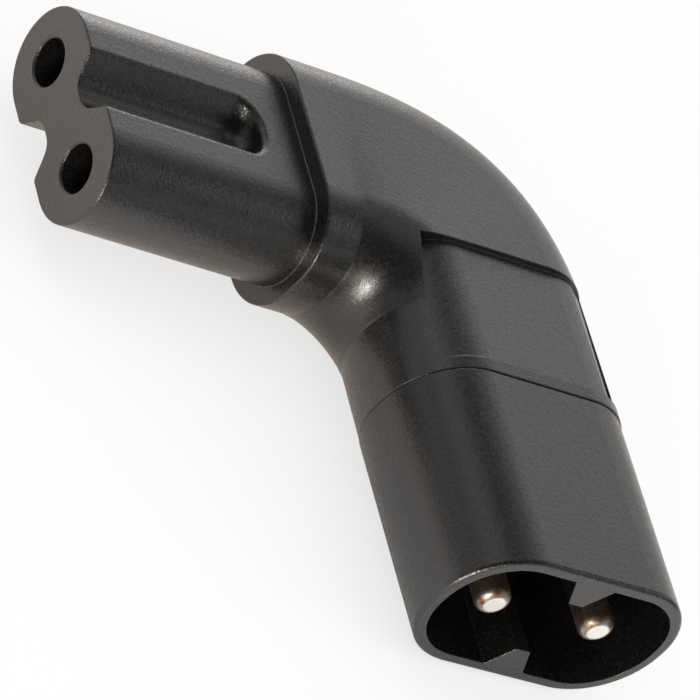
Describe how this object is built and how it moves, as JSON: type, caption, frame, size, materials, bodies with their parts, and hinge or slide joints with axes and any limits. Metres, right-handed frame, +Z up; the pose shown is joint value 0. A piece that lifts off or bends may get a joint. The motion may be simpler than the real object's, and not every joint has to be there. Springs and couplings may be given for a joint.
{
  "type": "figure eight power connector",
  "caption": "Right-angle figure eight power adapter: a two-pin inlet in a shroud, a rounded elbow and a two-hole socket nose with waist grooves.",
  "frame": {"origin": "the middle of the box's underside: the adapter lies on one broad side on the plane z = 0", "axes": "Z is up, the inlet opens towards -Y, and the socket nose points towards -X"},
  "size_m": [0.0394, 0.0404, 0.0115],
  "materials": {
    "elbow_plastic": "charcoal black moulded plastic with a fine spark eroded grain",
    "nose_plastic": "charcoal black moulded plastic, fine grain",
    "shroud_plastic": "charcoal black moulded plastic, fine grain",
    "insulation": "black insulating plastic, dull",
    "plated_pin": "bright plated brass",
    "contact_metal": "brass spring contact",
    "conductor": "bare copper"
  },
  "bodies": {
    "root": {"elbow_body": "elbow_plastic", "socket_nose": "nose_plastic", "contact_cap": "insulation", "inlet_shroud": "shroud_plastic", "pin_bridge": "insulation", "inlet_pin_inner": "plated_pin", "inlet_pin_outer": "plated_pin", "socket_contact_inner": "contact_metal", "socket_contact_outer": "contact_metal", "wire_core_inner": "conductor", "wire_core_outer": "conductor", "wire_sleeve_inner": "insulation", "wire_sleeve_outer": "insulation"}
  },
  "joints": []
}
